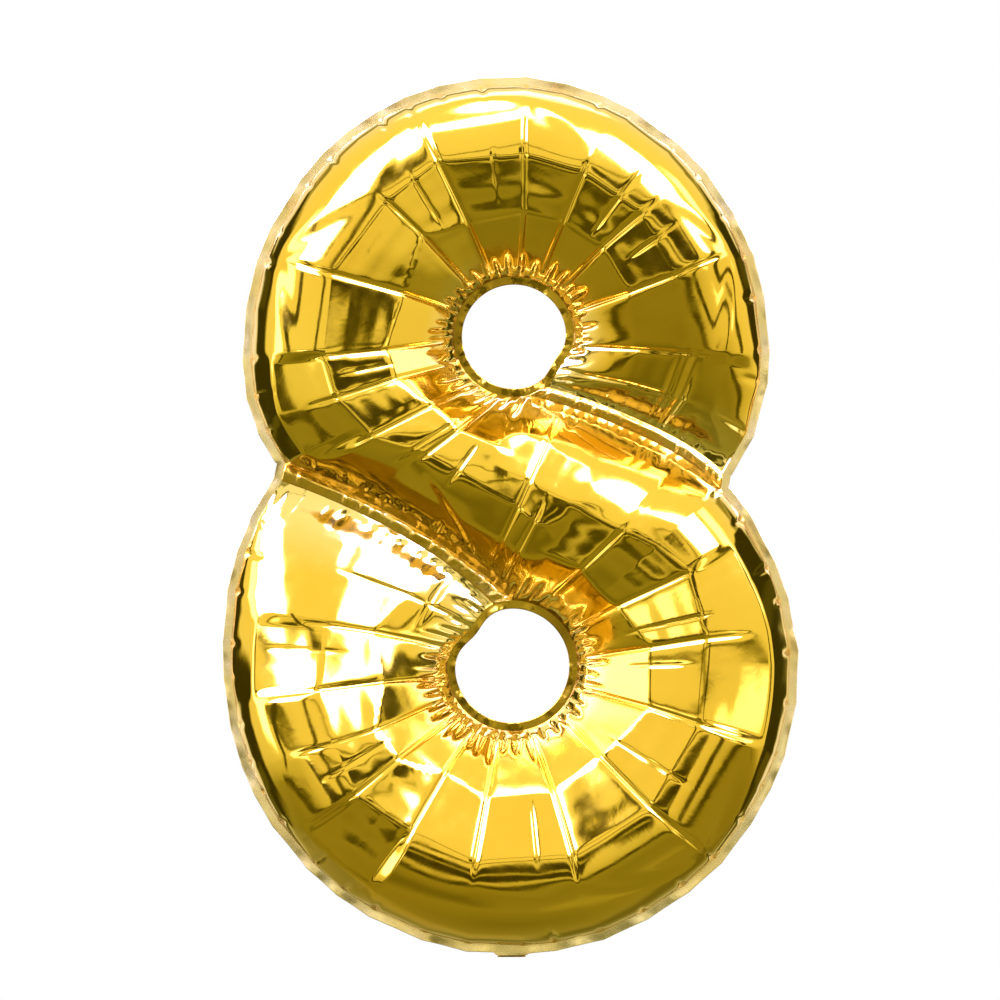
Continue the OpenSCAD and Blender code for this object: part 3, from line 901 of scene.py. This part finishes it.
def softbox(name, place, target, width, height, power):
    light = bpy.data.lights.new(name, "AREA")
    light.shape = "RECTANGLE"
    light.size, light.size_y = width, height
    light.energy = power
    obj = bpy.data.objects.new(name, light)
    obj.location = place
    bpy.context.scene.collection.objects.link(obj)
    aim(obj, target)
    return obj


MIDDLE = (0, 0, 0.45)
softbox("key_left", (-2.6, -2.9, 3.6), MIDDLE, 1.0, 1.0, 75)
softbox("key_right", (2.6, -2.9, 3.4), MIDDLE, 0.9, 0.9, 62)


# what the foil mirrors: azimuth and elevation of each panel's middle and its half sizes in degrees, how soft
# its edge is, and how bright it is. Azimuth 0 is towards the camera and grows to the right.
PANELS = [
    # dark stands and flags at the sides and behind
    (-124, 0, 17, 30, 2.5, 0.04), (124, 0, 17, 30, 2.5, 0.04),
    (180, 12, 62, 3.0, 1.0, 0.08), (180, 34, 56, 3.5, 1.5, 0.30), (180, -20, 60, 3.0, 1.0, 0.10),
    # the floor's far edge, the dark camera stand below the horizon, and thin rails
    (0, -27, 75, 2.0, 0.8, 0.07), (-2, -13, 14, 8.0, 0.8, 0.05), (0, -11.5, 10, 1.1, 0.4, 0.5),
    (-10, 1, 60, 1.4, 0.6, 0.14), (20, 9, 12, 4, 0.8, 0.05), (-24, -17, 8, 5, 0.8, 0.06),
    (-6, 17, 30, 0.9, 0.5, 0.25), (-14, 6, 2.2, 26, 0.8, 0.08), (31, -4, 2.6, 20, 0.8, 0.06),
    (-52, -2, 4, 20, 1.0, 0.07), (66, 4, 4, 22, 1.0, 0.08),
    # patches on the floor
    (-30, -48, 24, 7, 4.0, 0.17), (40, -58, 28, 6, 4.0, 0.36), (150, -44, 40, 8, 4.0, 0.16), (-150, -52, 36, 8, 4.0, 0.36),
    # soft boxes
    (-43, 40, 21, 20, 1.5, 11.0), (43, 40, 20, 17, 1.5, 10.0),
    (-75, 12, 8, 22, 2.0, 3.0), (80, 30, 7, 16, 2.0, 3.0), (0, 68, 28, 9, 2.0, 8.0), (180, 60, 40, 8, 3.0, 3.0),
    (-33, -8, 5, 4, 0.8, 2.4), (48, -8, 5, 4, 0.8, 2.2),
]
# brightness of the room by elevation in degrees
ROOM = [(-90, 0.20), (-60, 0.28), (-38, 0.25), (-28, 0.32), (-23, 0.62), (-14, 0.84), (0, 0.92), (30, 1.0), (90, 1.15)]


def studio_world():
    world = bpy.data.worlds.new("studio")
    bpy.context.scene.world = world
    world.use_nodes = True
    nodes, links = world.node_tree.nodes, world.node_tree.links
    nodes.clear()

    def math_node(op, a, b=None, c=None):
        t = nodes.new("ShaderNodeMath")
        t.operation = op
        for k, v in enumerate((a, b, c)):
            if v is None:
                continue
            if isinstance(v, (int, float)):
                t.inputs[k].default_value = v
            else:
                links.new(v, t.inputs[k])
        return t.outputs[0]

    out = nodes.new("ShaderNodeOutputWorld")
    mix = nodes.new("ShaderNodeMixShader")
    seen = nodes.new("ShaderNodeBackground")
    lit = nodes.new("ShaderNodeBackground")
    seen.inputs["Color"].default_value = (1, 1, 1, 1)
    lit.inputs["Strength"].default_value = 1.25
    path = nodes.new("ShaderNodeLightPath")
    links.new(path.outputs["Is Camera Ray"], mix.inputs[0])
    links.new(lit.outputs[0], mix.inputs[1])
    links.new(seen.outputs[0], mix.inputs[2])
    links.new(mix.outputs[0], out.inputs[0])
    coord = nodes.new("ShaderNodeTexCoord").outputs["Generated"]
    parts = nodes.new("ShaderNodeSeparateXYZ")
    links.new(coord, parts.inputs[0])
    back = math_node("MULTIPLY", parts.outputs["Y"], -1.0)
    azimuth = math_node("MULTIPLY", math_node("ARCTAN2", parts.outputs["X"], back), 180 / math.pi)
    elevation = math_node("MULTIPLY", math_node("ARCSINE", parts.outputs["Z"]), 180 / math.pi)
    share = map_range(nodes, links, elevation, -90, 90, 0, 1)
    value = ramp_colour(nodes, links, share, [((e + 90) / 180, (v,) * 3) for e, v in ROOM])
    for az, el, half_az, half_el, soft, bright in PANELS:
        mask = None
        for angle, middle, half in ((azimuth, az, half_az), (elevation, el, half_el)):
            off = math_node("ABSOLUTE", math_node("WRAP", math_node("SUBTRACT", angle, middle), 180.0, -180.0))
            m = map_range(nodes, links, off, half - soft, half + soft, 1, 0)
            mask = m if mask is None else math_node("MULTIPLY", mask, m)
        blend = nodes.new("ShaderNodeMix")
        blend.data_type = "FLOAT"
        links.new(mask, blend.inputs[0])
        links.new(value, blend.inputs[2])
        blend.inputs[3].default_value = bright
        value = blend.outputs[0]
    # the soft boxes are cooler than the room
    cool = math_node("MINIMUM", math_node("POWER", value, 1.9), math_node("MULTIPLY", value, 4.0))
    colour = nodes.new("ShaderNodeCombineColor")
    for k, v in zip(("Red", "Green", "Blue"), (value, value, cool)):
        links.new(v, colour.inputs[k])
    links.new(colour.outputs[0], lit.inputs["Color"])


studio_world()


# the balloon floats above the floor, with room for its tail to swing down
FLOOR_GAP = 0.08


def studio_floor():
    m = bpy.data.materials.new("pale_floor")
    m.use_nodes = True
    nodes, links = m.node_tree.nodes, m.node_tree.links
    nodes.clear()
    out = nodes.new("ShaderNodeOutputMaterial")
    mix = nodes.new("ShaderNodeMixShader")
    seen = nodes.new("ShaderNodeEmission")
    lit = nodes.new("ShaderNodeBsdfTransparent")
    path = nodes.new("ShaderNodeLightPath")
    links.new(path.outputs["Is Camera Ray"], mix.inputs[0])
    links.new(lit.outputs[0], mix.inputs[1])
    links.new(seen.outputs[0], mix.inputs[2])
    links.new(mix.outputs[0], out.inputs[0])
    mesh = bpy.data.meshes.new("floor")
    e, z = 4.0, cad_low.z - FLOOR_GAP
    mesh.from_pydata([(-e, -e, z), (e, -e, z), (e, e, z), (-e, e, z)], [], [(0, 1, 2, 3)])
    mesh.materials.append(m)
    floor = bpy.data.objects.new("floor", mesh)
    bpy.context.scene.collection.objects.link(floor)


studio_floor()

VIEW_DISTANCE = 6.0
VIEW_WIDTH = 0.98
camera = bpy.data.cameras.new("camera")
camera.sensor_width = 36.0
camera.lens = camera.sensor_width * VIEW_DISTANCE / VIEW_WIDTH
camera_obj = bpy.data.objects.new("camera", camera)
camera_obj.location = (-0.0113, -VIEW_DISTANCE, 0.448)
camera_obj.rotation_euler = (math.pi / 2, 0, 0)
bpy.context.scene.collection.objects.link(camera_obj)
bpy.context.scene.camera = camera_obj
bpy.context.scene.view_settings.view_transform = "Standard"
